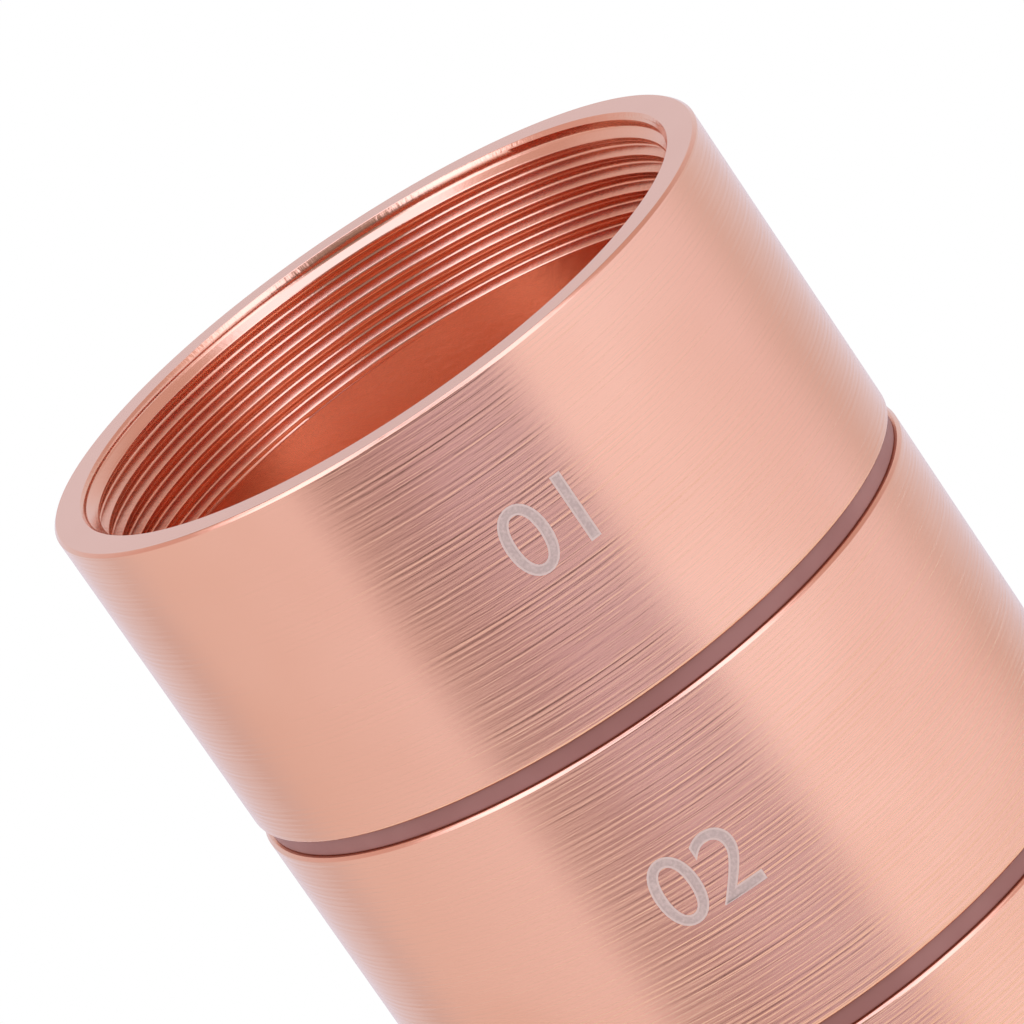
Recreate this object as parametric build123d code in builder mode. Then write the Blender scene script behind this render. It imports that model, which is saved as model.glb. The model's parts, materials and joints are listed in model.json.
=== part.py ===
from build123d import *
import os

# Weekly pill box: seven turned aluminium cups that screw into each other as a tower.
# Millimetres. +Z is up along the tower's axis, and the origin is the centre of the foot it stands on.
# The lid is off: it lies beside the tower on its flat top, with its boss upwards.

# Driving dimensions of the tower
day_count = 7
outer_diameter = 35.0
wall_height = 16.55
floor_thickness = 1.5
rim_edge_break = 0.2
shoulder_edge_break = 0.1
foot_edge_break = 0.5
floor_fillet = 1.5

# Driving dimensions of the screw joint between a boss and the mouth below it
rim_wall = 1.5
thread_pitch = 1.0
thread_length = 6.0
boss_engagement = 5.5
thread_clearance = 0.08
boss_wall = 1.4
neck_relief = 0.6
boss_lead_in = 0.5
ledge_thickness = 1.5

# Driving dimensions of the seal ring in the groove between two pieces
seal_thickness = 0.95
groove_depth = 0.3
seal_neck_gap = 0.15
seal_round = 0.25

# Driving dimensions of the lid
lid_cap_height = 8.0
lid_crown_thickness = 2.5
lid_edge_break = 0.5
lid_distance = 15.0

# A metric thread of this pitch, as shares of the pitch: its flank depth inside a mouth,
# and how far its pitch line lies inside its largest diameter
MOUTH_FLANK = 0.5413
PITCH_LINE = 0.3248

# Radii that follow from them. Mouth and boss meet on the thread's pitch line.
outer_radius = outer_diameter / 2
thread_radius = outer_radius - rim_wall
pitch_radius = thread_radius - PITCH_LINE * thread_pitch
mouth_radius = pitch_radius + thread_clearance / 2
boss_radius = pitch_radius - thread_clearance / 2
bore_radius = thread_radius - MOUTH_FLANK * thread_pitch
neck_radius = boss_radius - PITCH_LINE * thread_pitch
pocket_radius = neck_radius - boss_wall
mouth_lead_in = thread_radius - mouth_radius
seal_outer = outer_radius - groove_depth
seal_inner = neck_radius + seal_neck_gap

# Heights that follow from them, measured from a cup's rim downwards
cup_pitch = wall_height + seal_thickness
cup_depth = cup_pitch + boss_engagement
floor_depth = cup_depth - floor_thickness
thread_end_depth = thread_length + (mouth_radius - bore_radius)
pocket_top_depth = wall_height - ledge_thickness
cone_top_depth = pocket_top_depth - (bore_radius - pocket_radius)
neck_end = seal_thickness + neck_relief
boss_length = seal_thickness + boss_engagement

lid_axis_x = outer_diameter + lid_distance
LENGTH_TOLERANCE = 1e-4

os.makedirs("parts", exist_ok=True)


def turning_plane(axis_x, height):
    """A plane through a turned piece's axis: local X is the radius, local Y the height above this one."""
    return Plane(origin=(axis_x, 0, height), x_dir=(1, 0, 0), z_dir=(0, -1, 0))


def ring_edge(piece, radius, height):
    """The one round edge of a turned piece that has this radius at this height."""
    rings = piece.edges().filter_by(GeomType.CIRCLE)
    rings = rings.filter_by(lambda edge: abs(edge.radius - radius) < LENGTH_TOLERANCE)
    return rings.filter_by(lambda edge: abs(edge.arc_center.Z - height) < LENGTH_TOLERANCE)


def mouth_points():
    """The inside of a cup from its axis at the rim, down past the thread seat to the plain bore."""
    return [
        (0, 0),
        (mouth_radius, 0),
        (mouth_radius, -thread_length),
        (bore_radius, -thread_end_depth),
    ]


def boss_points(shoulder, direction):
    """The neck and boss that stand on a shoulder, to the boss's end, downwards (-1) or upwards (+1)."""
    return [
        (neck_radius, shoulder),
        (neck_radius, shoulder + direction * neck_end),
        (boss_radius, shoulder + direction * (neck_end + boss_radius - neck_radius)),
        (boss_radius, shoulder + direction * boss_length),
        (0, shoulder + direction * boss_length),
    ]


# Day cups above the lowest one, each with a boss that screws into the next cup down
for day in range(1, day_count):
    rim = cup_depth + (day_count - day) * cup_pitch
    with BuildPart() as day_cup:
        with BuildSketch(turning_plane(0, rim)):
            with BuildLine():
                outside = [(0, 0), (outer_radius, 0), (outer_radius, -wall_height)]
                Polyline(*outside, *boss_points(-wall_height, -1), close=True)
            make_face()
        revolve(axis=Axis.Z)
        with BuildSketch(turning_plane(0, rim)):
            with BuildLine():
                cone = [(bore_radius, -cone_top_depth), (pocket_radius, -pocket_top_depth)]
                pocket = [(pocket_radius, -floor_depth), (0, -floor_depth)]
                Polyline(*mouth_points(), *cone, *pocket, close=True)
            make_face()
        revolve(axis=Axis.Z, mode=Mode.SUBTRACT)
        fillet(ring_edge(day_cup, pocket_radius, rim - floor_depth), floor_fillet)
        chamfer(ring_edge(day_cup, outer_radius, rim), rim_edge_break)
        chamfer(ring_edge(day_cup, mouth_radius, rim), mouth_lead_in)
        chamfer(ring_edge(day_cup, outer_radius, rim - wall_height), shoulder_edge_break)
        chamfer(ring_edge(day_cup, boss_radius, rim - cup_depth), boss_lead_in)
    day_cup.part.label = f"day_cup_{day}"
    export_step(day_cup.part, f"parts/day_cup_{day}.step")

# The lowest cup: as deep as the others with their boss, so that every day holds the same
with BuildPart() as base_cup:
    with BuildSketch(turning_plane(0, cup_depth)):
        with BuildLine():
            Polyline((0, 0), (outer_radius, 0), (outer_radius, -cup_depth), (0, -cup_depth), close=True)
        make_face()
    revolve(axis=Axis.Z)
    with BuildSketch(turning_plane(0, cup_depth)):
        with BuildLine():
            Polyline(*mouth_points(), (bore_radius, -floor_depth), (0, -floor_depth), close=True)
        make_face()
    revolve(axis=Axis.Z, mode=Mode.SUBTRACT)
    fillet(ring_edge(base_cup, bore_radius, cup_depth - floor_depth), floor_fillet)
    chamfer(ring_edge(base_cup, outer_radius, cup_depth), rim_edge_break)
    chamfer(ring_edge(base_cup, mouth_radius, cup_depth), mouth_lead_in)
    chamfer(ring_edge(base_cup, outer_radius, 0), foot_edge_break)
base_cup.part.label = f"day_cup_{day_count}"
export_step(base_cup.part, f"parts/day_cup_{day_count}.step")

# The lid, upside down beside the tower: its flat top is at z = 0 and its boss points up
lid_axis = Axis((lid_axis_x, 0, 0), (0, 0, 1))
lid_hollow_end = lid_cap_height + boss_length
with BuildPart() as screw_lid:
    with BuildSketch(turning_plane(lid_axis_x, 0)):
        with BuildLine():
            cap = [(0, 0), (outer_radius, 0), (outer_radius, lid_cap_height)]
            Polyline(*cap, *boss_points(lid_cap_height, 1), close=True)
        make_face()
    revolve(axis=lid_axis)
    with BuildSketch(turning_plane(lid_axis_x, lid_crown_thickness)):
        with BuildLine():
            hollow_depth = lid_hollow_end - lid_crown_thickness
            Polyline((0, 0), (pocket_radius, 0), (pocket_radius, hollow_depth), (0, hollow_depth), close=True)
        make_face()
    revolve(axis=lid_axis, mode=Mode.SUBTRACT)
    fillet(ring_edge(screw_lid, pocket_radius, lid_crown_thickness), floor_fillet)
    chamfer(ring_edge(screw_lid, outer_radius, 0), lid_edge_break)
    chamfer(ring_edge(screw_lid, outer_radius, lid_cap_height), shoulder_edge_break)
    chamfer(ring_edge(screw_lid, boss_radius, lid_hollow_end), boss_lead_in)
screw_lid.part.label = "screw_lid"
export_step(screw_lid.part, "parts/screw_lid.step")

# Seal rings: one under each shoulder of the tower, on the rim of the cup below, and one on the lid's shoulder
seal_seats = {
    f"seal_ring_{day}": (0, cup_depth + (day_count - day - 1) * cup_pitch) for day in range(1, day_count)
}
seal_seats["lid_seal"] = (lid_axis_x, lid_cap_height)
for seal_name, (axis_x, seat) in seal_seats.items():
    with BuildPart() as seal:
        with BuildSketch(turning_plane(axis_x, seat)):
            with Locations(((seal_inner + seal_outer) / 2, seal_thickness / 2)):
                section = Rectangle(seal_outer - seal_inner, seal_thickness)
            fillet(section.vertices().sort_by(Axis.X)[-2:], seal_round)
        revolve(axis=Axis((axis_x, 0, 0), (0, 0, 1)))
    seal.part.label = seal_name
    export_step(seal.part, f"parts/{seal_name}.step")
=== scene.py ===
# %% [markdown]
# A weekly pill box turned from aluminium and anodised rose. Seven round cups, one for each day, screw
# into each other, so that each cup is the lid of the one below. The topmost lid is off and stands beside
# the stack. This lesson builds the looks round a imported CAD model, which is the fixed frame: it gives the
# sizes and places, and every piece made here rides on one of its bodies.

import json
import math

import bmesh
import bpy
from mathutils import Matrix, Vector


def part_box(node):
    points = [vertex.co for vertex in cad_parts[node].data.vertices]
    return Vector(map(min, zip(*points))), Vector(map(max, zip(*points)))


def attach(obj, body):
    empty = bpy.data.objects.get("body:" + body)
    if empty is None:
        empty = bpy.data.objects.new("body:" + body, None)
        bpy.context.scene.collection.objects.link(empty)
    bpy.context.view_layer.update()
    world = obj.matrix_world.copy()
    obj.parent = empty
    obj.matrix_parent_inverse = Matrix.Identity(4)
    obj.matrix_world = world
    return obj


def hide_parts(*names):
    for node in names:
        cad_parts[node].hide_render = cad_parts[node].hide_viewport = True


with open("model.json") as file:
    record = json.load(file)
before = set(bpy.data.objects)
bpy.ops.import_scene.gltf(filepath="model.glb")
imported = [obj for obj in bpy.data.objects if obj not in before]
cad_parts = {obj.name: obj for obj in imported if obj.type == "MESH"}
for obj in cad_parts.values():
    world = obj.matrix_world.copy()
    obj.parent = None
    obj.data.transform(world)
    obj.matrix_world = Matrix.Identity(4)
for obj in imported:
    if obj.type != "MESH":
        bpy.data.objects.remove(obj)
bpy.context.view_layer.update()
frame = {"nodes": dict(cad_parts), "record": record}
scene = bpy.context.scene
scene.view_settings.view_transform = "Standard"

# Light bounces many times between the polished walls of a deep cup
MIRROR_BOUNCES = 10
scene.cycles.glossy_bounces = MIRROR_BOUNCES
print("nodes in the frame:", len(frame["nodes"]))

# %% [markdown]
# Everything on this object is turned on a lathe, so it is measured as a machinist would: radii from the
# axis and heights along it. The outside, the rims and the seals are read from the frame. The pitch of the
# screw joint comes from the frame too, because there each lift follows its turn by that ratio. The walls
# inside, which no bounding box shows, are the drawing's own values.

# %% Sizes
MM = 0.001
TURN = 2 * math.pi
DAYS = 7
RIM = {day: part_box(f"day_cup_{day}")[1].z for day in range(1, DAYS + 1)}
OUTER_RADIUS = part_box("day_cup_1")[1].x
CUP_DEPTH = RIM[1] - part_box("day_cup_1")[0].z
CUP_STEP = RIM[1] - RIM[2]
SEAL_LOW, SEAL_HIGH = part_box("seal_ring_1")
SEAL_RADIUS = SEAL_HIGH.x
SEAL_THICKNESS = SEAL_HIGH.z - SEAL_LOW.z
WALL_HEIGHT = RIM[1] - SEAL_HIGH.z
LID_LOW, LID_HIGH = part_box("screw_lid")
LID_X = (LID_LOW.x + LID_HIGH.x) / 2
LID_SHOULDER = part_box("lid_seal")[0].z
PITCH = frame["record"]["behaviour"]["couplings"][0]["ratio"] * TURN
print(f"cup {2 * OUTER_RADIUS / MM:.1f} mm wide, {CUP_DEPTH / MM:.1f} mm deep, pitch {PITCH / MM:.2f} mm")

# %% The walls inside, from the drawing
RIM_WALL = 1.5 * MM
FLOOR_THICKNESS = 1.5 * MM
FLOOR_FILLET = 1.5 * MM
THREAD_LENGTH = 6.0 * MM
BOSS_WALL = 1.4 * MM
NECK_RELIEF = 0.6 * MM
LEDGE_THICKNESS = 1.5 * MM
LID_CROWN = 2.5 * MM
THREAD_SLACK = 0.05 * MM
NECK_STEP = 0.15 * MM
SEAL_NECK_GAP = 0.15 * MM
FLANK_SHARE = 0.5413
LEAD_IN_RADIUS = OUTER_RADIUS - RIM_WALL
CREST_RADIUS = LEAD_IN_RADIUS - FLANK_SHARE * PITCH
NECK_RADIUS = CREST_RADIUS - NECK_STEP
POCKET_RADIUS = NECK_RADIUS - BOSS_WALL
FLOOR_DEPTH = CUP_DEPTH - FLOOR_THICKNESS
LEDGE_DEPTH = WALL_HEIGHT - LEDGE_THICKNESS
print(f"bore {2 * CREST_RADIUS / MM:.2f} mm wide, pocket {2 * POCKET_RADIUS / MM:.2f} mm wide")
print(f"floor {FLOOR_DEPTH / MM:.1f} mm below the rim")

# %% [markdown]
# Both kinds of node tree, shaders and Geometry Nodes, are full of small sums. Wired by hand, each sum is
# one Math node and two links. A small class is kinder: it wraps a socket, and Python's operators on it add
# the nodes. One more method adds any other node, with its settings first and then its sockets.

# %% A wire that can be added and multiplied
class Wire:
    """One output of a node tree. An operator on it adds a Math node to that tree."""

    def __init__(self, socket):
        self.socket = socket
        self.tree = socket.id_data

    def math(self, operation, *others):
        return node(self.tree, "ShaderNodeMath", {"operation": operation}, dict(enumerate((self, *others))))

    def __add__(self, other):
        return self.math("ADD", other)

    def __sub__(self, other):
        return self.math("SUBTRACT", other)

    def __rsub__(self, other):
        return self.math("MULTIPLY_ADD", -1.0, other)

    def __mul__(self, other):
        return self.math("MULTIPLY", other)

    def __truediv__(self, other):
        return self.math("DIVIDE", other)

    def __neg__(self):
        return self.math("MULTIPLY", -1.0)

    __radd__ = __add__
    __rmul__ = __mul__

    def step(self, low, high):
        """0 below low, 1 above high, and a soft ramp between them."""
        values = {"Value": self, "From Min": low, "From Max": high}
        return node(self.tree, "ShaderNodeMapRange", {"interpolation_type": "SMOOTHSTEP"}, values)

    def split(self):
        """The three parts of a vector."""
        parts = node(self.tree, "ShaderNodeSeparateXYZ", {}, {0: self})
        return [Wire(socket) for socket in parts.socket.node.outputs]

    def other(self, name):
        """Another output of the same node."""
        return Wire(self.socket.node.outputs[name])


# %% The one method for any other node
def socket_of(sockets, key):
    """A socket by its place, or by its name among those in use."""
    if isinstance(key, int):
        return sockets[key]
    return next(socket for socket in sockets if socket.enabled and socket.name == key)


def node(tree, kind, settings=None, inputs=None):
    """Adds a node: settings first, then numbers or wires on its sockets. Gives its first output in use."""
    made = tree.nodes.new(kind)
    for name, value in (settings or {}).items():
        if name == "stops":
            ramp = made.color_ramp.elements
            while len(ramp) < len(value):
                ramp.new(1.0)
            for element, (position, colour) in zip(ramp, value):
                element.position = position
                element.color = (*colour, 1.0)
        else:
            setattr(made, name, value)
    for key, value in (inputs or {}).items():
        socket = socket_of(made.inputs, key)
        if isinstance(value, Wire):
            tree.links.new(value.socket, socket)
        else:
            socket.default_value = value
    shown = [socket for socket in made.outputs if socket.enabled]
    return Wire(shown[0]) if shown else made


print("Wire and node are ready")

# %% [markdown]
# The first main shape is a turned surface: a profile carried round an axis. Blender's Spin or Screw would
# do it, but a Geometry Nodes tree keeps the count of segments and the axis as named inputs. The profile
# comes in as loose points. A grid has one row for each point and one column for each segment, and each
# grid point is set to the radius and height of its row's point, at the angle of its column.

# %% A tree and its inputs
WELD = 0.0005 * MM


def new_tree(name, inputs):
    """An empty Geometry Nodes tree with named inputs, and a wire for each of them."""
    tree = bpy.data.node_groups.new(name, "GeometryNodeTree")
    tree.interface.new_socket("Geometry", in_out="INPUT", socket_type="NodeSocketGeometry")
    tree.interface.new_socket("Geometry", in_out="OUTPUT", socket_type="NodeSocketGeometry")
    for label, kind in inputs.items():
        tree.interface.new_socket(label, in_out="INPUT", socket_type=f"NodeSocket{kind}")
    group_in = tree.nodes.new("NodeGroupInput")
    return tree, {socket.name: Wire(socket) for socket in group_in.outputs if socket.name}


def close_tree(tree, grid, place, material):
    """Ends a tree: the grid's points put in place and welded, smooth, realized, with its material."""
    shaped = node(tree, "GeometryNodeSetPosition", {}, {"Geometry": grid, "Position": place})
    merged = node(tree, "GeometryNodeMergeByDistance", {}, {"Geometry": shaped, "Distance": WELD})
    smooth = node(tree, "GeometryNodeSetShadeSmooth", {}, {0: merged})
    real = node(tree, "GeometryNodeRealizeInstances", {}, {0: smooth})
    dressed = node(tree, "GeometryNodeSetMaterial", {}, {"Geometry": real, "Material": material})
    tree.links.new(dressed.socket, tree.nodes.new("NodeGroupOutput").inputs[0])


print(f"points closer than {WELD / MM:.4f} mm weld")

# %% The tree that turns a profile
def on_the_axis(tree, radius, angle, height, axis_x):
    """A point at this angle round a standing axis. Angle 0 faces the camera, along -Y."""
    across = radius * angle.math("SINE") + axis_x
    along = -(radius * angle.math("COSINE"))
    return node(tree, "ShaderNodeCombineXYZ", {}, {0: across, 1: along, 2: height})


def swept_grid(tree, section, columns):
    """A grid with a row for each point of a section, the place across it, and each row's X and Z."""
    points = node(tree, "GeometryNodeAttributeDomainSize", {"component": "MESH"}, {0: section})
    counts = {"Size X": 1.0, "Size Y": 1.0, "Vertices X": columns + 1, "Vertices Y": points}
    grid = node(tree, "GeometryNodeMeshGrid", {}, counts)
    position = node(tree, "GeometryNodeInputPosition")
    across, down, _ = position.split()
    row = ((down + 0.5) * (points - 1)).math("ROUND")
    drawn = node(tree, "GeometryNodeSampleIndex", {"data_type": "FLOAT_VECTOR", "domain": "POINT"},
                 {"Geometry": section, "Value": position, "Index": row})
    x, _, z = drawn.split()
    return grid, across + 0.5, x, z


def turning_tree():
    inputs = {"Segments": "Int", "Axis X": "Float", "Material": "Material"}
    tree, given = new_tree("turn a profile", inputs)
    grid, across, radius, height = swept_grid(tree, given["Geometry"], given["Segments"])
    place = on_the_axis(tree, radius, across * TURN, height, given["Axis X"])
    close_tree(tree, grid, place, given["Material"])
    return tree


TURNING = turning_tree()
print("turning tree:", len(TURNING.nodes), "nodes")

# %% [markdown]
# The second shape is the screw thread. Its section over one pitch comes in as loose points too, and the
# tree winds it: the grid is one pitch wide and several turns long, it comes down one pitch in each turn,
# and the edges of one turn weld to the next. Above the top and below the end of the thread the heights are
# held, so both ends close into plain circles that fit the turned profiles. Inside, the thread starts from
# a lead-in cone and runs out into the bore. Outside, it is cut off by a cone at both ends.

# %% The tree that winds a thread
RUN_OUT = 0.12 * MM
LEAD_IN_SLOPE = 0.72


def thread_tree(name, inside):
    """Winds the section of a thread round the axis, inside a bore or else outside on a boss."""
    sizes = ("Pitch", "Crest Radius", "Start", "Top", "End", "End Radius", "Axis X")
    counts = {"Segments": "Int", "Turns": "Int"}
    tree, given = new_tree(name, {**counts, **{size: "Float" for size in sizes}, "Material": "Material"})
    grid, across, groove, below = swept_grid(tree, given["Geometry"], given["Segments"] * given["Turns"])
    turns = across * given["Turns"]
    climb = given["Start"] - given["Pitch"] * turns + below
    height = climb.math("MINIMUM", given["Top"]).math("MAXIMUM", given["End"])
    from_top = given["Top"] - height
    from_end = height - given["End"]
    if inside:
        cone = given["End Radius"] - from_top * LEAD_IN_SLOPE
        radius = (given["Crest Radius"] + groove * from_end.step(0.0, RUN_OUT)).math("MAXIMUM", cone)
    else:
        cones = given["End Radius"] + from_top.math("MINIMUM", from_end)
        radius = (given["Crest Radius"] + groove).math("MINIMUM", cones)
    place = on_the_axis(tree, radius, turns * -TURN, height, given["Axis X"])
    close_tree(tree, grid, place, given["Material"])
    return tree


MOUTH_THREAD = thread_tree("wind a thread in a mouth", inside=True)
BOSS_THREAD = thread_tree("wind a thread on a boss", inside=False)
print("thread trees:", len(MOUTH_THREAD.nodes), "and", len(BOSS_THREAD.nodes), "nodes")

# %% [markdown]
# A tree works through a modifier on a throwaway object. Its inputs are set by the identifiers of the
# sockets before the first evaluation, the result is copied as a plain mesh, and the throwaway goes. The
# turned and threaded stretches of one piece are then welded into one closed skin with its faces outwards.

# %% From a tree to a mesh, and from meshes to a piece
def run_tree(tree, points, values):
    """The plain mesh that a tree makes from these points and named values."""
    source = bpy.data.meshes.new("profile")
    source.from_pydata(points, [], [])
    holder = bpy.data.objects.new("profile", source)
    scene.collection.objects.link(holder)
    modifier = holder.modifiers.new("shape", "NODES")
    modifier.node_group = tree
    for item in tree.interface.items_tree:
        if item.in_out == "INPUT" and item.name in values:
            modifier[item.identifier] = values[item.name]
    depsgraph = bpy.context.evaluated_depsgraph_get()
    made = bpy.data.meshes.new_from_object(holder.evaluated_get(depsgraph))
    bpy.data.objects.remove(holder)
    bpy.data.meshes.remove(source)
    return made


SHARP_EDGE = math.radians(40)


def weld(name, meshes, material):
    """One piece from several open meshes that share their edge circles."""
    skin = bmesh.new()
    for mesh in meshes:
        skin.from_mesh(mesh)
        bpy.data.meshes.remove(mesh)
    bmesh.ops.remove_doubles(skin, verts=skin.verts, dist=2 * WELD)
    bmesh.ops.dissolve_degenerate(skin, edges=skin.edges, dist=WELD / 10)
    bmesh.ops.recalc_face_normals(skin, faces=skin.faces)
    open_edges = sum(1 for edge in skin.edges if not edge.is_manifold)
    whole = bpy.data.meshes.new(name)
    skin.to_mesh(whole)
    skin.free()
    whole.materials.clear()
    whole.materials.append(material)
    whole.shade_smooth()
    whole.set_sharp_from_angle(angle=SHARP_EDGE)
    piece = bpy.data.objects.new(name, whole)
    scene.collection.objects.link(piece)
    faces = sum(len(face.vertices) - 2 for face in whole.polygons)
    print(f"{name}: {faces} triangles, {open_edges} open edges")
    return piece


print(f"edges that turn by more than {math.degrees(SHARP_EDGE):.0f} degrees stay sharp")

# %% [markdown]
# A lathe tool leaves no true corner: every edge here has a small break. A helper takes the corners of a
# profile with the rounding of each and gives the points of the line. An arc meets its straight runs
# smoothly, and one more point close beside it keeps the shading of the long runs flat. The thread is drawn
# the same way: a narrow crest and a rounded root, with flanks about seventy degrees apart.

# %% A profile with rounded corners
ARC_STEP = math.radians(15)
SUPPORT = 0.1


def arc_at(before, corner, after, rounding):
    """The points of an arc that rounds a corner, with a supporting point on each side."""
    arriving = (corner - before).normalized()
    leaving = (after - corner).normalized()
    bend = arriving.angle_signed(leaving)
    reach = rounding * math.tan(abs(bend) / 2)
    start = corner - arriving * reach
    side = Vector((arriving.y, -arriving.x)) * math.copysign(1.0, bend)
    centre = start + side * rounding
    steps = round(abs(bend) / ARC_STEP)
    turned = [Matrix.Rotation(-bend * k / steps, 2) @ (start - centre) for k in range(steps + 1)]
    end = corner + leaving * reach
    beside = SUPPORT * rounding
    return [start - arriving * beside, *[centre + arm for arm in turned], end + leaving * beside]


def profile(*corners):
    """Points of a turned profile from (radius, height) or (radius, height, rounding) corners."""
    flat = [Vector(corner[:2]) for corner in corners]
    line = []
    for k, corner in enumerate(corners):
        if len(corner) == 3:
            line += arc_at(flat[k - 1], flat[k], flat[k + 1], corner[2])
        else:
            line.append(flat[k])
    return [(point.x, 0.0, point.y) for point in line]


print("a square corner becomes", len(profile((0, 0), (1, 0, 0.1), (1, 1))) - 2, "points")

# %% The section of the thread
CREST_FLAT = 0.20 * MM
ROOT_FLAT = 0.20 * MM
ROOT_RAISED = 0.044 * MM
GROOVE_DEPTH = 0.418 * MM
CREST_ROUND = 0.09 * MM
ROOT_ROUND = 0.20 * MM


def thread_section():
    """One pitch, from the middle of a crest down to the middle of the next: groove depth and height."""
    crest = CREST_FLAT / 2
    root = ROOT_RAISED - PITCH / 2
    return profile((0.0, 0.0), (0.0, -crest, CREST_ROUND),
                   (GROOVE_DEPTH, root + ROOT_FLAT / 2), (GROOVE_DEPTH, root - ROOT_FLAT / 2, ROOT_ROUND),
                   (0.0, crest - PITCH, CREST_ROUND), (0.0, -PITCH))


SECTION = thread_section()
print(f"thread section: {len(SECTION)} points, grooves {GROOVE_DEPTH / MM:.3f} mm deep")

# %% [markdown]
# The metal is aluminium, turned, anodised and dyed rose. It is all reflection: its base colour is the tint
# of what it mirrors. The lathe tool leaves fine grooves round the wall, a quarter of a millimetre apart and
# a few thousandths deep, with longer scratches and short dashes among them. They show only where the
# mirrored surroundings change from bright to dark, so they are bump and not painted lines. Inside, the
# lead-in cone has the tool's chatter marks, and the pocket is left dull. In a cup the pocket is painted a
# more orange rose, as painted light bounced between its walls.

# %% A new material and its shader
def new_material(name):
    """A material and its emptied node tree."""
    material = bpy.data.materials.new(name)
    material.use_nodes = True
    material.node_tree.nodes.clear()
    return material, material.node_tree


def finish_shader(tree, constants, varying):
    """A Principled shader on the output: constants on its own sockets, what varies as links."""
    shader = node(tree, "ShaderNodeBsdfPrincipled", {}, {**constants, **varying})
    output = tree.nodes.new("ShaderNodeOutputMaterial")
    tree.links.new(shader.socket, output.inputs["Surface"])


def mixed(tree, factor, first, second):
    """A colour between two colours."""
    return node(tree, "ShaderNodeMix", {"data_type": "RGBA"},
                {"Factor": factor, "A": first, "B": second})


def noise(tree, vector, scale, detail=2.0):
    """Smooth noise from 0 to 1."""
    return node(tree, "ShaderNodeTexNoise", {"noise_dimensions": "3D"},
                {"Vector": vector, "Scale": scale, "Detail": detail})


def squeezed(tree, vector, factors):
    """A place with each axis scaled by its own factor, which squeezes a pattern along that axis."""
    return node(tree, "ShaderNodeVectorMath", {"operation": "MULTIPLY"}, {0: vector, 1: factors})


print("material helpers are ready")

# %% Zones of the metal
BOTTOM_SHARE = 0.02


def metal_zones(radius, height):
    """Masks: the wall outside, all within the mouth's radius, the lead-in cone, the pocket and its floor."""
    outside = radius.step(OUTER_RADIUS - 0.3 * MM, OUTER_RADIUS - 0.1 * MM)
    bored = 1 - radius.step(LEAD_IN_RADIUS - 0.2 * MM, LEAD_IN_RADIUS)
    cone = radius.step(LEAD_IN_RADIUS - 0.16 * MM, LEAD_IN_RADIUS - 0.10 * MM)
    cone = cone * (1 - radius.step(LEAD_IN_RADIUS - 0.02 * MM, LEAD_IN_RADIUS))
    # Every underside lies a whole number of cup steps above the table, and the floor inside lies higher
    above_bottom = (height / CUP_STEP + BOTTOM_SHARE).math("FRACT").step(2 * BOTTOM_SHARE, 4 * BOTTOM_SHARE)
    pocket = above_bottom * (1 - radius.step(POCKET_RADIUS + 0.1 * MM, POCKET_RADIUS + 0.3 * MM))
    return outside, bored, cone, pocket


print(f"one cup step is {CUP_STEP / MM:.2f} mm")

# %% What the lathe leaves
FEED = 0.27 * MM
FEED_HEIGHT = 0.010 * MM
FEED_SHARE, SCRATCH_SHARE, DASH_SHARE, CHATTER_SHARE = 0.20, 2.6, 0.55, 1.4
GRAIN_OUTSIDE, GRAIN_BORED = 0.1, 0.5
FEED_WOBBLE = 3.0
LINE_SQUEEZE = (60.0, 60.0, 5600.0)
DASH_SQUEEZE = (1400.0, 1400.0, 11000.0)
CHATTER_SQUEEZE = (5000.0, 5000.0, 700.0)


def lathe_marks(tree, centred, height, scratch, outside, bored, cone):
    """The bump of the lathe's marks: grooves on the wall, chatter on the cone, grain mostly inside."""
    dash = noise(tree, squeezed(tree, centred, DASH_SQUEEZE), 1.0, 1.0)
    wobble = noise(tree, centred, 180.0)
    feed = (height * (TURN / FEED) + wobble * FEED_WOBBLE).math("SINE")
    grooves = feed * FEED_SHARE + (scratch - 0.5) * SCRATCH_SHARE + (dash - 0.5) * DASH_SHARE
    chatter = noise(tree, squeezed(tree, centred, CHATTER_SQUEEZE), 1.0, 1.0) * cone
    grain = noise(tree, centred, 2600.0, 2.0) * (GRAIN_OUTSIDE + bored * GRAIN_BORED)
    marks = grooves * outside + chatter * CHATTER_SHARE + grain
    return node(tree, "ShaderNodeBump", {}, {"Strength": 1.0, "Distance": FEED_HEIGHT, "Height": marks})


print(f"turning lines are {FEED / MM:.2f} mm apart")

# %% Turned rose metal
ROSE = (0.81, 0.437, 0.285, 1.0)
ROSE_DEEP = (0.787, 0.414, 0.265, 1.0)
# A more orange rose for a cup's pocket: painted light, bounced between its walls
ROSE_POCKET_PAINTED_BOUNCE = (0.93, 0.46, 0.24, 1.0)
POLISH = 0.15
SCRATCH_ROUGH, CLOUD_ROUGH, BORE_ROUGH, POCKET_ROUGH = 0.05, 0.04, 0.02, 0.42
BRUSHED = {"Metallic": 1.0, "Anisotropic": 0.45, "Anisotropic Rotation": 0.25}


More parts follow.
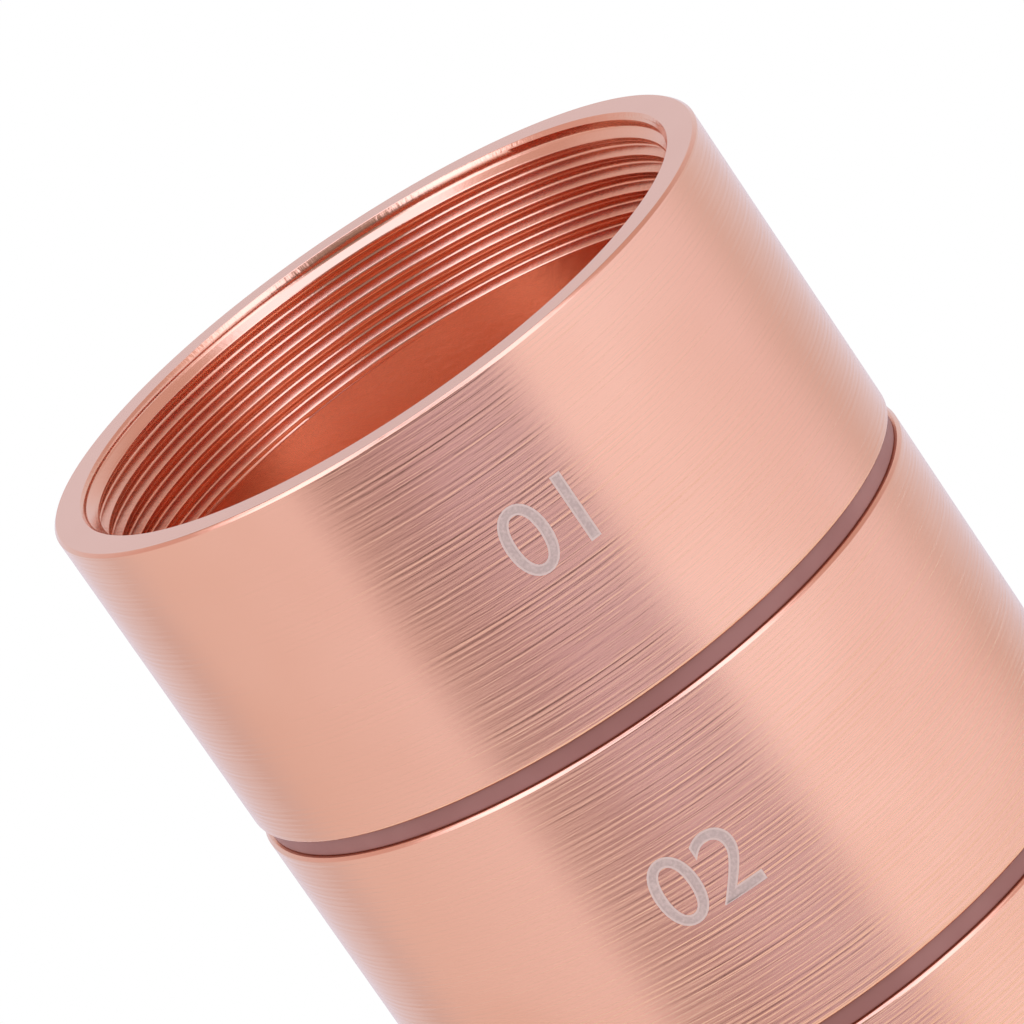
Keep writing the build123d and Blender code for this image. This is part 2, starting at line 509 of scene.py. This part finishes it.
def rose_metal(name, axis_x, inside):
    """Rose metal turned round a standing axis, its pocket in another colour: in a cup, painted bounced
    light.
    """
    material, tree = new_material(name)
    place = node(tree, "ShaderNodeTexCoord").other("Object")
    axis = (axis_x, 0.0, 0.0)
    centred = node(tree, "ShaderNodeVectorMath", {"operation": "SUBTRACT"}, {0: place, 1: axis})
    across, along, height = centred.split()
    radius = (across * across + along * along).math("SQRT")
    outside, bored, cone, pocket = metal_zones(radius, height)
    scratch = noise(tree, squeezed(tree, centred, LINE_SQUEEZE), 1.0, 3.0)
    bump = lathe_marks(tree, centred, height, scratch, outside, bored, cone)
    cloud = noise(tree, centred, 90.0)
    dyed = mixed(tree, cloud.step(0.35, 0.65), ROSE_DEEP, ROSE)
    # The pocket takes its own colour; in a cup this is a painted reflection of light bounced between the
    # walls
    colour = mixed(tree, pocket, dyed, inside)
    rough = POLISH + SCRATCH_ROUGH * scratch + CLOUD_ROUGH * cloud
    rough = rough + BORE_ROUGH * bored + POCKET_ROUGH * pocket
    finish_shader(tree, BRUSHED, {"Base Color": colour, "Roughness": rough, "Normal": bump})
    return material


CUP_METAL = rose_metal("rose_metal_stack", 0.0, ROSE_POCKET_PAINTED_BOUNCE)
LID_METAL = rose_metal("rose_metal_lid", LID_X, ROSE)
print("metals:", CUP_METAL.name, LID_METAL.name)

# %% [markdown]
# Under each cup's shoulder lies a flat ring of soft seal rubber. It shows as a dull mauve band in the
# groove between two cups, so its material is matt, with a fine moulded grain and no metal in it.

# %% Seal rubber
RUBBER = (0.30, 0.118, 0.082, 1.0)
RUBBER_PALE = (0.345, 0.147, 0.105, 1.0)
RUBBER_GRAIN = 0.01 * MM


def seal_rubber():
    material, tree = new_material("seal_rubber")
    place = node(tree, "ShaderNodeTexCoord").other("Object")
    grain = noise(tree, place, 1500.0, 3.0)
    patch = noise(tree, place, 220.0)
    bump = node(tree, "ShaderNodeBump", {}, {"Strength": 0.5, "Distance": RUBBER_GRAIN, "Height": grain})
    colour = mixed(tree, patch.step(0.3, 0.7), RUBBER, RUBBER_PALE)
    rough = 0.5 + 0.15 * grain
    finish_shader(tree, {"Metallic": 0.0}, {"Base Color": colour, "Roughness": rough, "Normal": bump})
    return material


RUBBER_MATERIAL = seal_rubber()
print("rubber:", RUBBER_MATERIAL.name)

# %% [markdown]
# A day cup is a thin wall with a threaded mouth on top and a narrower threaded boss below, which screws
# into the next cup. Its skin is five stretches: the outside from the rim down to the neck, the boss
# thread, the closed bottom, the inside with its pocket, and the mouth thread. The lowest cup has a plain
# foot instead of the boss.

# %% Turned and wound stretches
SEGMENTS = 192
RIM_BREAK = 0.15 * MM
EDGE_ROUND = 0.06 * MM
SHOULDER_ROUND = 0.18 * MM
INNER_ROUND = 0.20 * MM
FOOT_ROUND = 0.50 * MM
THREAD_TURNS = 8
THREAD_START = 0.54 * MM
MOUTH_RUN_OUT = 0.1 * MM
BESIDE = 0.05 * MM


def turned(points, material, axis_x=0.0):
    return run_tree(TURNING, points, {"Segments": SEGMENTS, "Axis X": axis_x, "Material": material})


def wound(tree, crest, rim, top, end, end_radius, material, axis_x=0.0):
    return run_tree(tree, SECTION, {
        "Segments": SEGMENTS, "Turns": THREAD_TURNS, "Pitch": PITCH, "Crest Radius": crest,
        "Start": rim + PITCH + THREAD_START, "Top": top, "End": end, "End Radius": end_radius,
        "Axis X": axis_x, "Material": material})


MOUTH_END = THREAD_LENGTH + MOUTH_RUN_OUT
BOSS_CREST = CREST_RADIUS - THREAD_SLACK
print(f"a mouth thread ends {MOUTH_END / MM:.2f} mm below its rim")

# %% What every cup has at its rim
def rim_edge(rim):
    """The two corners of the broken edge round a rim."""
    return (OUTER_RADIUS - RIM_BREAK, rim, EDGE_ROUND), (OUTER_RADIUS, rim - RIM_BREAK, EDGE_ROUND)


def mouth_thread(rim):
    """The thread in the mouth below this rim."""
    return wound(MOUTH_THREAD, CREST_RADIUS, rim, rim, rim - MOUTH_END, LEAD_IN_RADIUS, CUP_METAL)


print(f"rim edges are broken by {RIM_BREAK / MM:.2f} mm")

# %% Six cups that screw into each other
def day_cup(day):
    rim = RIM[day]
    shoulder = rim - WALL_HEIGHT
    neck = shoulder - SEAL_THICKNESS - NECK_RELIEF
    bottom = rim - CUP_DEPTH
    floor = rim - FLOOR_DEPTH
    cone = rim - LEDGE_DEPTH
    mouth_end = rim - MOUTH_END
    cone_start = cone + (CREST_RADIUS - POCKET_RADIUS)
    outside = profile((LEAD_IN_RADIUS, rim), *rim_edge(rim), (OUTER_RADIUS, shoulder, SHOULDER_ROUND),
                      (NECK_RADIUS, shoulder, INNER_ROUND),
                      (NECK_RADIUS, neck + BESIDE), (NECK_RADIUS, neck))
    under = profile((NECK_RADIUS, bottom), (NECK_RADIUS - BESIDE, bottom), (0.0, bottom))
    inside = profile((CREST_RADIUS, mouth_end), (CREST_RADIUS, mouth_end - BESIDE),
                     (CREST_RADIUS, cone_start, INNER_ROUND), (POCKET_RADIUS, cone, INNER_ROUND),
                     (POCKET_RADIUS, floor, FLOOR_FILLET), (0.0, floor))
    stretches = [turned(points, CUP_METAL) for points in (outside, under, inside)]
    stretches.append(mouth_thread(rim))
    stretches.append(wound(BOSS_THREAD, BOSS_CREST, RIM[day + 1], neck, bottom, NECK_RADIUS, CUP_METAL))
    return weld(f"cup_{day}", stretches, CUP_METAL)


cups = {day: day_cup(day) for day in range(1, DAYS)}

# %% The lowest cup, with a plain foot
def base_cup(day):
    rim = RIM[day]
    mouth_end = rim - MOUTH_END
    floor = FLOOR_THICKNESS
    outside = profile((LEAD_IN_RADIUS, rim), *rim_edge(rim), (OUTER_RADIUS, 0.0, FOOT_ROUND), (0.0, 0.0))
    inside = profile((CREST_RADIUS, mouth_end), (CREST_RADIUS, mouth_end - BESIDE),
                     (CREST_RADIUS, floor, FLOOR_FILLET), (0.0, floor))
    stretches = [turned(points, CUP_METAL) for points in (outside, inside)]
    stretches.append(mouth_thread(rim))
    return weld(f"cup_{day}", stretches, CUP_METAL)


cups[DAYS] = base_cup(DAYS)
for day, cup in cups.items():
    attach(cup, f"day_cup_{day}")
    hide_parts(f"day_cup_{day}")
print("cups:", sorted(cup.name for cup in cups.values()))

# %% [markdown]
# The lid is a short cap on the same threaded boss, hollow inside. It stands upside down beside the stack,
# on its flat top, as it would when someone has just unscrewed it.

# %% The lid
def screw_lid():
    neck = LID_SHOULDER + SEAL_THICKNESS + NECK_RELIEF
    tip = LID_HIGH.z
    outside = profile((0.0, 0.0), (OUTER_RADIUS, 0.0, FOOT_ROUND),
                      (OUTER_RADIUS, LID_SHOULDER, SHOULDER_ROUND),
                      (NECK_RADIUS, LID_SHOULDER, INNER_ROUND),
                      (NECK_RADIUS, neck - BESIDE), (NECK_RADIUS, neck))
    hollow = profile((NECK_RADIUS, tip), (NECK_RADIUS - BESIDE, tip), (POCKET_RADIUS, tip, INNER_ROUND),
                     (POCKET_RADIUS, LID_CROWN, FLOOR_FILLET), (0.0, LID_CROWN))
    stretches = [turned(points, LID_METAL, LID_X) for points in (outside, hollow)]
    stretches.append(wound(BOSS_THREAD, BOSS_CREST, tip, tip, neck, NECK_RADIUS, LID_METAL, LID_X))
    return weld("lid", stretches, LID_METAL)


lid = screw_lid()
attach(lid, "screw_lid")
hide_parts("screw_lid")
print(f"lid stands at x = {LID_X / MM:.1f} mm")

# %% [markdown]
# Each seal is a flat ring with four rounded corners. The same turning tree makes it: the profile starts
# and ends at the same point, and the weld closes it.

# %% Seals
SEAL_ROUND = 0.10 * MM
SEAL_INNER_ROUND = 0.18 * MM


def seal_ring(name, low, axis_x, inner):
    high = low + SEAL_THICKNESS
    middle = (inner + SEAL_RADIUS) / 2
    ring = profile((middle, low), (SEAL_RADIUS, low, SEAL_ROUND), (SEAL_RADIUS, high, SEAL_ROUND),
                   (inner, high, SEAL_INNER_ROUND), (inner, low, SEAL_INNER_ROUND), (middle, low))
    return weld(name, [turned(ring, RUBBER_MATERIAL, axis_x)], RUBBER_MATERIAL)


SEAL_BORE = NECK_RADIUS + SEAL_NECK_GAP
seals = {}
for day in range(1, DAYS):
    ring = seal_ring(f"seal_{day}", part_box(f"seal_ring_{day}")[0].z, 0.0, SEAL_BORE)
    seals[f"seal_ring_{day}"] = ring
    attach(ring, f"seal_ring_{day}")
lid_ring = seal_ring("seal_lid", LID_SHOULDER, LID_X, SEAL_BORE)
seals["lid_seal"] = lid_ring
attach(lid_ring, "screw_lid")
for seal_node, ring in seals.items():
    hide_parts(seal_node)
print("seals:", len(seals))

# %% [markdown]
# A pale mark is etched on the front of each cup. Here it is a plain number. Blender's text object gives
# its outline twice: a wider pale one, and on it a narrower grey one, so that the stroke has a pale edge.
# Each is made a mesh, cut into narrow strips so that it can bend, and wrapped round the wall a few
# thousandths of a millimetre proud of it. The etching removes the dye, so the mark is dull grey aluminium.

# %% Etched metal
ETCHED = (0.49, 0.355, 0.276, 1.0)
ETCHED_EDGE = (0.655, 0.49, 0.375, 1.0)
ETCH_GRAIN = 0.006 * MM


def etched_metal(name, colour):
    material, tree = new_material(name)
    place = node(tree, "ShaderNodeTexCoord").other("Object")
    grain = noise(tree, place, 6000.0, 2.0)
    spotted = mixed(tree, grain.step(0.3, 0.9), colour, ETCHED_EDGE)
    bump = node(tree, "ShaderNodeBump", {}, {"Strength": 0.6, "Distance": ETCH_GRAIN, "Height": grain})
    rough = 0.62 + 0.1 * grain
    finish_shader(tree, {"Metallic": 0.2}, {"Base Color": spotted, "Roughness": rough, "Normal": bump})
    return material


EDGE_MATERIAL = etched_metal("etched_edge", ETCHED_EDGE)
ETCHED_MATERIAL = etched_metal("etched_mark", ETCHED)
print("etched:", EDGE_MATERIAL.name, ETCHED_MATERIAL.name)

# %% A flat number
MARK_HEIGHT = 3.6 * MM
MARK_STRIP = 0.25 * MM
BOLD = 0.004
THIN = -0.014


def flat_number(text, offset):
    """The flat mesh of a number, with its strokes made wider or narrower by an offset."""
    curve = bpy.data.curves.new("number", "FONT")
    curve.body = text
    curve.align_x = "CENTER"
    curve.align_y = "CENTER"
    curve.offset = offset
    curve.resolution_u = 8
    holder = bpy.data.objects.new("number", curve)
    scene.collection.objects.link(holder)
    depsgraph = bpy.context.evaluated_depsgraph_get()
    mesh = bpy.data.meshes.new_from_object(holder.evaluated_get(depsgraph))
    bpy.data.objects.remove(holder)
    return mesh


def middle_and_size(mesh):
    """The centre of a flat number, and the scale that gives it the height of the marks."""
    xs = [vertex.co.x for vertex in mesh.vertices]
    ys = [vertex.co.y for vertex in mesh.vertices]
    middle = Vector(((min(xs) + max(xs)) / 2, (min(ys) + max(ys)) / 2, 0.0))
    return middle, MARK_HEIGHT / (max(ys) - min(ys))


def cut_strips(shape):
    """Cuts a flat shape into narrow upright strips, so that it can bend."""
    reach = max(abs(vertex.co.x) for vertex in shape.verts)
    for k in range(-int(reach / MARK_STRIP), int(reach / MARK_STRIP) + 1):
        everything = shape.verts[:] + shape.edges[:] + shape.faces[:]
        bmesh.ops.bisect_plane(shape, geom=everything, plane_co=(k * MARK_STRIP, 0, 0), plane_no=(1, 0, 0))


print(f"marks are {MARK_HEIGHT / MM:.1f} mm high")

# %% Numbers wrapped round the wall
MARK_DROP = 7.6 * MM
EDGE_PROUD = 0.005 * MM
MARK_PROUD = 0.009 * MM
MARK_BEARING = {1: 3.6, 2: -6.1, 3: 2.0, 4: -3.0, 5: 5.0, 6: -4.5, 7: 1.0}


def wrapped(shape, day, proud):
    """Bends a flat shape round the wall of a cup, with its faces outwards."""
    radius = OUTER_RADIUS + proud
    middle = RIM[day] - MARK_DROP
    for vertex in shape.verts:
        angle = math.radians(MARK_BEARING[day]) + vertex.co.x / OUTER_RADIUS
        vertex.co = (radius * math.sin(angle), -radius * math.cos(angle), middle + vertex.co.y)
    for face in shape.faces:
        face.normal_update()
        if face.normal.dot(face.calc_center_median() * Vector((1, 1, 0))) < 0:
            face.normal_flip()
        face.smooth = True


def etched_number(day):
    """A pale number with a narrower grey one on it."""
    mesh = bpy.data.meshes.new(f"mark_{day}")
    both = bmesh.new()
    placing = None
    for slot, (offset, proud) in enumerate(((BOLD, EDGE_PROUD), (THIN, MARK_PROUD))):
        flat = flat_number(f"0{day}", offset)
        placing = placing or middle_and_size(flat)
        layer = bmesh.new()
        layer.from_mesh(flat)
        for vertex in layer.verts:
            vertex.co = (vertex.co - placing[0]) * placing[1]
        bmesh.ops.remove_doubles(layer, verts=layer.verts, dist=WELD)
        cut_strips(layer)
        wrapped(layer, day, proud)
        for face in layer.faces:
            face.material_index = slot
        layer.to_mesh(flat)
        layer.free()
        both.from_mesh(flat)
        bpy.data.meshes.remove(flat)
    both.to_mesh(mesh)
    both.free()
    mesh.materials.append(EDGE_MATERIAL)
    mesh.materials.append(ETCHED_MATERIAL)
    mark = bpy.data.objects.new(f"mark_{day}", mesh)
    scene.collection.objects.link(mark)
    print(mark.name, len(mesh.polygons), "faces")
    return mark


for day in range(1, DAYS + 1):
    mark = etched_number(day)
    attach(mark, f"day_cup_{day}")

# %% [markdown]
# Polished metal shows its surroundings, so the studio is as important as the material. The stack stands in
# a white tent that is open towards the camera: the opening mirrors as the dull streak down the front of
# each cup, and the panels beside it as the bright bands. The world is painted by direction. Three rings of
# colour by bearing lie above each other: the low one lights the wall outside, and the middle and high ones,
# with two soft boxes and a dark front, light the threads. A ceiling and the light of the table close them.
# The camera itself sees plain white behind the object, while the metal mirrors the tent.

# %% The tent
LOW_RING = [
    (-180, (0.85, 0.88, 1.03)),
    (-136, (0.83, 0.85, 0.99)),
    (-128, (0.78, 0.76, 0.87)),
    (-112, (0.91, 0.88, 1.00)),
    (-52, (1.00, 1.01, 1.24)),
    (-38, (0.63, 0.58, 0.72)),
    (-24, (0.58, 0.52, 0.71)),
    (-6, (0.71, 0.68, 1.02)),
    (18, (0.75, 0.74, 1.08)),
    (32, (1.14, 1.22, 1.55)),
    (52, (1.14, 1.22, 1.55)),
    (100, (1.01, 1.02, 1.28)),
    (121, (0.82, 0.79, 0.90)),
    (136, (0.84, 0.86, 1.00)),
    (180, (0.85, 0.88, 1.03)),
]
MIDDLE_RING = [
    (-180, (0.82, 0.85, 1.01)),
    (-150, (0.86, 0.82, 0.95)),
    (-120, (0.80, 0.62, 0.68)),
    (-85, (0.80, 0.62, 0.68)),
    (-66, (2.15, 2.25, 3.05)),
    (-36, (2.15, 2.25, 3.05)),
    (-24, (0.40, 0.36, 0.38)),
    (8, (0.40, 0.36, 0.38)),
    (20, (2.15, 2.25, 3.05)),
    (44, (2.05, 2.15, 2.90)),
    (62, (0.95, 0.80, 0.88)),
    (80, (0.70, 0.54, 0.58)),
    (120, (0.70, 0.54, 0.58)),
    (150, (0.86, 0.82, 0.95)),
    (180, (0.82, 0.85, 1.01)),
]
HIGH_RING = [
    (-180, (0.30, 0.28, 0.30)),
    (-150, (0.30, 0.28, 0.30)),
    (-135, (0.75, 0.58, 0.62)),
    (-108, (0.75, 0.58, 0.62)),
    (-84, (2.25, 2.35, 3.15)),
    (-48, (2.25, 2.35, 3.15)),
    (-26, (0.40, 0.36, 0.38)),
    (10, (0.40, 0.36, 0.38)),
    (32, (2.15, 2.25, 3.05)),
    (66, (1.95, 2.05, 2.75)),
    (88, (0.75, 0.58, 0.62)),
    (135, (0.75, 0.58, 0.62)),
    (150, (0.30, 0.28, 0.30)),
    (180, (0.30, 0.28, 0.30)),
]
CEILING = (1.65, 1.85, 2.60, 1.0)
TABLE = (1.03, 1.07, 1.30, 1.0)
WHITE = (1.0, 1.0, 1.0, 1.0)
DARK_OPENING = (0.16, 0.14, 0.15, 1.0)
OPENING_LEFT = (math.radians(-46), math.radians(-34))
OPENING_RIGHT = (math.radians(18), math.radians(28))


def ring_of_light(tree, bearing, ring):
    """The colours of a ring round the horizon, from its stops by bearing in degrees."""
    stops = [((degrees + 180) / 360, colour) for degrees, colour in ring]
    return node(tree, "ShaderNodeValToRGB", {"stops": stops}, {"Fac": bearing / TURN + 0.5})


def between(rise, low, high):
    """A soft step as the direction rises from one angle to another, in degrees."""
    return rise.step(math.sin(math.radians(low)), math.sin(math.radians(high)))


def paint_tent():
    world = bpy.data.worlds.new("tent")
    world.use_nodes = True
    tree = world.node_tree
    tree.nodes.clear()
    direction = node(tree, "ShaderNodeTexCoord").other("Generated")
    across, along, rise = direction.split()
    bearing = across.math("ARCTAN2", -along)
    lit = mixed(tree, between(rise, -60, -45), TABLE, ring_of_light(tree, bearing, LOW_RING))
    towards_camera = bearing.step(*OPENING_LEFT) * (1 - bearing.step(*OPENING_RIGHT))
    lit = mixed(tree, between(rise, -29, -19).math("MAXIMUM", 1 - towards_camera), TABLE, lit)
    lit = mixed(tree, between(rise, -10, -3) * towards_camera, lit, DARK_OPENING)
    lit = mixed(tree, between(rise, 9, 15), lit, ring_of_light(tree, bearing, MIDDLE_RING))
    lit = mixed(tree, between(rise, 38, 44), lit, ring_of_light(tree, bearing, HIGH_RING))
    lit = mixed(tree, between(rise, 63, 70), lit, CEILING)
    seen = node(tree, "ShaderNodeLightPath").other("Is Camera Ray")
    colour = mixed(tree, seen, lit, WHITE)
    surface = node(tree, "ShaderNodeBackground", {}, {"Color": colour, "Strength": 1.0})
    output = tree.nodes.new("ShaderNodeOutputWorld")
    tree.links.new(surface.socket, output.inputs["Surface"])
    scene.world = world
    return world


print("world:", paint_tent().name)

# %% [markdown]
# The floor is a disc that keeps the shadow of the object and fades into the white round it, so that no
# edge shows. The tent's light is bluish, so the disc's colour is a little yellow and comes out white. One
# large lamp overhead brightens the disc without marking the metal.

# %% Floor and lamp
FLOOR_RADIUS = 0.27
FLOOR_DROP = 0.05 * MM
FLOOR_WHITE = (0.88, 0.905, 0.745, 1.0)
MIDDLE_X = (LID_HIGH.x - OUTER_RADIUS) / 2
LAMP_SIZE = 0.7
LAMP_POWER = 0.6
LAMP_PLACE = Vector((MIDDLE_X - 0.1, -0.15, 0.8))


def white_floor():
    material, tree = new_material("white_floor")
    place = node(tree, "ShaderNodeTexCoord").other("Object")
    away = node(tree, "ShaderNodeVectorMath", {"operation": "LENGTH"}, {0: place}).other("Value")
    board = node(tree, "ShaderNodeBsdfDiffuse", {}, {"Color": FLOOR_WHITE})
    clear = node(tree, "ShaderNodeBsdfTransparent")
    fade = away.step(0.5 * FLOOR_RADIUS, FLOOR_RADIUS)
    faded = node(tree, "ShaderNodeMixShader", {}, {0: fade, 1: board, 2: clear})
    output = tree.nodes.new("ShaderNodeOutputMaterial")
    tree.links.new(faded.socket, output.inputs["Surface"])
    shape = bmesh.new()
    bmesh.ops.create_circle(shape, cap_ends=True, segments=96, radius=FLOOR_RADIUS)
    mesh = bpy.data.meshes.new("floor")
    shape.to_mesh(mesh)
    shape.free()
    mesh.materials.append(material)
    floor = bpy.data.objects.new("floor", mesh)
    floor.location = (MIDDLE_X, 0.0, -FLOOR_DROP)
    scene.collection.objects.link(floor)
    return floor


def overhead_lamp():
    lamp = bpy.data.lights.new("overhead", "AREA")
    lamp.shape = "DISK"
    lamp.size = LAMP_SIZE
    lamp.energy = LAMP_POWER
    holder = bpy.data.objects.new("overhead", lamp)
    holder.location = LAMP_PLACE
    away_from_object = LAMP_PLACE - Vector((MIDDLE_X, 0.0, 0.0))
    holder.rotation_euler = away_from_object.to_track_quat("Z", "Y").to_euler()
    holder.visible_glossy = False
    scene.collection.objects.link(holder)
    return holder


print("stage:", white_floor().name, overhead_lamp().name)

# %% [markdown]
# The photograph looks down into the open cup by about sixteen degrees, through a long lens, with the
# camera rolled so that the stack leans to the left. The camera is placed from those angles, its distance
# and the pixel where the centre of the top rim lands.

# %% Camera
IMAGE_SIZE = 1024
LENS = 300.0
SENSOR = 36.0
CAMERA_RISE = math.radians(16.455)
CAMERA_ROLL = math.radians(-34.425)
CAMERA_DISTANCE = 0.38962
RIM_CENTRE_PIXEL = (371.6, 320.8)
NEAR_CLIP = 0.01


def photo_camera():
    data = bpy.data.cameras.new("camera")
    data.lens = LENS
    data.sensor_width = SENSOR
    data.clip_start = NEAR_CLIP
    back = Vector((0.0, -math.cos(CAMERA_RISE), math.sin(CAMERA_RISE)))
    level = Vector((1.0, 0.0, 0.0))
    upright = back.cross(level)
    right = math.cos(CAMERA_ROLL) * level + math.sin(CAMERA_ROLL) * upright
    up = math.cos(CAMERA_ROLL) * upright - math.sin(CAMERA_ROLL) * level
    pixel = CAMERA_DISTANCE * SENSOR / LENS / IMAGE_SIZE
    shift_right = (RIM_CENTRE_PIXEL[0] - IMAGE_SIZE / 2) * pixel
    shift_up = (IMAGE_SIZE / 2 - RIM_CENTRE_PIXEL[1]) * pixel
    place = Vector((0.0, 0.0, RIM[1])) + back * CAMERA_DISTANCE - right * shift_right - up * shift_up
    axes = Matrix((right, up, back)).transposed().to_4x4()
    camera = bpy.data.objects.new("camera", data)
    camera.matrix_world = Matrix.Translation(place) @ axes
    scene.collection.objects.link(camera)
    scene.camera = camera
    return camera


print("camera at", [round(x, 4) for x in photo_camera().location])

# %% Last update of the scene
bpy.context.view_layer.update()
